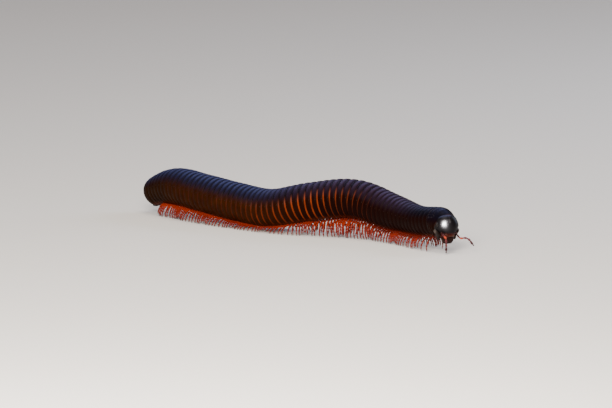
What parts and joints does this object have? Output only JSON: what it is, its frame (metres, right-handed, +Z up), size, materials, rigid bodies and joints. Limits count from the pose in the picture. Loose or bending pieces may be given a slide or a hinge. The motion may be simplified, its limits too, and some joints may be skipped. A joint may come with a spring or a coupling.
{
  "type": "red-legged millipede, still life-size model",
  "caption": "Still life-size model of a Tanzanian red-legged millipede, walking in a shallow double bend, its ringed black body carried on rows of red legs.",
  "frame": {"origin": "middle of the model's bounding box in plan, on the floor that the feet stand on", "axes": "+Z up, the animal's head towards -Y and its tail towards +Y, its right side towards -X"},
  "size_m": [0.0218, 0.1468, 0.0188],
  "materials": {
    "cuticle": "satin blue-black to dark red-brown body cuticle",
    "head_cuticle": "polished black cuticle with a dark red lip",
    "leg_cuticle": "glossy orange-red to pink leg and feeler cuticle",
    "eye": "glossy black beaded eye patch"
  },
  "bodies": {
    "root": {"head": "head_cuticle", "eye_left": "eye", "eye_right": "eye", "antenna_left": "leg_cuticle", "antenna_right": "leg_cuticle", "mandible_left": "head_cuticle", "mandible_right": "head_cuticle", "gnathochilarium": "head_cuticle", "collum": "cuticle", "trunk_01": "cuticle", "trunk_02": "cuticle", "trunk_03": "cuticle", "trunk_04": "cuticle", "trunk_05": "cuticle", "trunk_06": "cuticle", "trunk_07": "cuticle", "trunk_08": "cuticle", "trunk_09": "cuticle", "trunk_10": "cuticle", "telson": "cuticle", "anal_valve_left": "cuticle", "anal_valve_right": "cuticle", "subanal_scale": "cuticle"}
  },
  "joints": []
}
